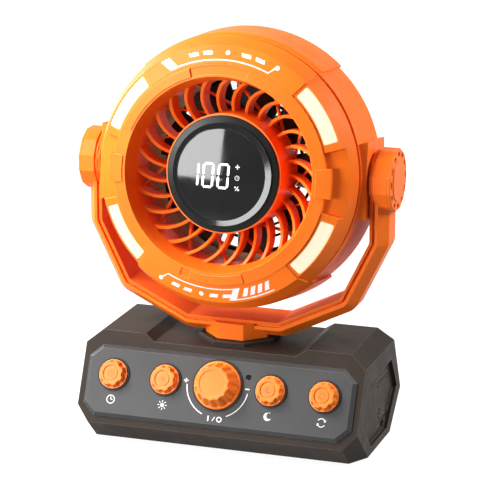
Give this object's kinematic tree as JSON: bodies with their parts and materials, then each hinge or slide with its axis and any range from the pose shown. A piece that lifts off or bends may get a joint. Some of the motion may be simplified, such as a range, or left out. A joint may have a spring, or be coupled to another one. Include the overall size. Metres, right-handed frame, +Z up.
{
  "type": "portable camping fan",
  "caption": "Battery camping fan: a round fan head with a light ring and display, tilting in a yoke that pans on a wedge base with a knob, push buttons and a port door.",
  "frame": {"origin": "centre of the footprint, on the plane the feet stand on", "axes": "+Z up, the control face and the fan look along -Y, +X is the end with the port door"},
  "size_m": [0.2332, 0.1302, 0.297],
  "materials": {
    "base_shell": "fine-grained charcoal",
    "control_plate": "satin gunmetal",
    "orange_plastic": "satin orange",
    "fan_plastic": "glossy brown-black",
    "dark_plastic": "matt black",
    "rubber": "matt",
    "diffuser": "milky cream",
    "lens": "glossy black",
    "circuit_board": "solder-mask green",
    "steel": "plain",
    "nylon": "natural nylon",
    "cell_wrap": "shrink wrap"
  },
  "bodies": {
    "base": {"base_housing": "base_shell", "bottom_cover": "base_shell", "rubber_feet": "rubber", "base_screws": "steel", "control_plate": "control_plate", "button_collars": "dark_plastic", "knob_collar": "dark_plastic", "sensor_window": "lens", "control_board": "circuit_board", "button_switches": "dark_plastic", "encoder_body": "dark_plastic", "battery_cells": "cell_wrap", "battery_tray": "dark_plastic", "main_board": "circuit_board", "port_bay": "base_shell", "port_board": "circuit_board", "usb_sockets": "steel", "door_pin": "steel", "turret_ring": "base_shell", "pan_bush": "nylon", "pan_motor": "steel", "motor_bracket": "steel"},
    "timer_button": {"timer_button": "orange_plastic"},
    "light_button": {"light_button": "orange_plastic"},
    "night_button": {"night_button": "orange_plastic"},
    "rotation_button": {"rotation_button": "orange_plastic"},
    "knob_plunger": {"encoder_plunger": "steel"},
    "knob": {"encoder_shaft": "steel", "speed_knob": "orange_plastic"},
    "port_door": {"port_door": "dark_plastic"},
    "pan_rotor": {"pan_pinion": "nylon", "pan_motor_shaft": "steel"},
    "yoke": {"yoke_frame": "orange_plastic", "yoke_liner": "orange_plastic", "pan_spindle": "nylon", "spindle_clip": "steel", "pan_gear": "nylon", "pivot_cap_left": "orange_plastic", "pivot_cap_right": "orange_plastic"},
    "head": {"front_ring": "orange_plastic", "light_diffuser_1": "diffuser", "light_diffuser_2": "diffuser", "light_diffuser_3": "diffuser", "light_diffuser_4": "diffuser", "led_board": "circuit_board", "front_grille": "orange_plastic", "display_bezel": "dark_plastic", "display_lens": "lens", "display_board": "circuit_board", "digit_module": "dark_plastic", "air_duct": "orange_plastic", "drum_housing": "orange_plastic", "rear_grille": "dark_plastic", "rear_screws": "steel", "pivot_bolts": "steel", "pivot_washers": "steel", "fan_motor": "steel"},
    "fan": {"impeller": "fan_plastic", "fan_shaft": "steel", "impeller_nut": "steel"}
  },
  "joints": [
    {"name": "timer_button_press", "type": "slide", "parent": "base", "child": "timer_button", "axis": [0, 0.9076, -0.4199], "range_m": [0, 0.0012], "stiffness_N_per_m": 1200, "springref_m": -0.0006},
    {"name": "light_button_press", "type": "slide", "parent": "base", "child": "light_button", "axis": [0, 0.9076, -0.4199], "range_m": [0, 0.0012], "stiffness_N_per_m": 1200, "springref_m": -0.0006},
    {"name": "night_button_press", "type": "slide", "parent": "base", "child": "night_button", "axis": [0, 0.9076, -0.4199], "range_m": [0, 0.0012], "stiffness_N_per_m": 1200, "springref_m": -0.0006},
    {"name": "rotation_button_press", "type": "slide", "parent": "base", "child": "rotation_button", "axis": [0, 0.9076, -0.4199], "range_m": [0, 0.0012], "stiffness_N_per_m": 1200, "springref_m": -0.0006},
    {"name": "knob_press", "type": "slide", "parent": "base", "child": "knob_plunger", "axis": [0, 0.9076, -0.4199], "range_m": [0, 0.0008], "stiffness_N_per_m": 3000, "springref_m": -0.0004},
    {"name": "knob_turn", "type": "hinge", "parent": "knob_plunger", "child": "knob", "pos_m": [0, -0.05058, 0.05033], "axis": [0, -0.9076, 0.4199], "continuous": true},
    {"name": "port_door_swing", "type": "hinge", "parent": "base", "child": "port_door", "pos_m": [0.1003, 0.0165, 0.0437], "axis": [0, -1, 0], "range_deg": [0, 100]},
    {"name": "head_pan", "type": "hinge", "parent": "base", "child": "yoke", "pos_m": [0, 0, 0.076], "axis": [0, 0, 1], "range_deg": [-45, 45]},
    {"name": "pan_pinion_turn", "type": "hinge", "parent": "base", "child": "pan_rotor", "pos_m": [-0.04, 0, 0.063], "axis": [0, 0, 1], "range_deg": [-135, 135]},
    {"name": "head_tilt", "type": "hinge", "parent": "yoke", "child": "head", "pos_m": [0, 0, 0.1975], "axis": [1, 0, 0], "range_deg": [-83.5, 96.5]},
    {"name": "fan_spin", "type": "hinge", "parent": "head", "child": "fan", "pos_m": [0, 0, 0.1975], "axis": [0, -0.9936, 0.1132], "continuous": true}
  ],
  "couplings": [
    {"joint": "pan_pinion_turn", "follows": "head_pan", "ratio": -3}
  ]
}
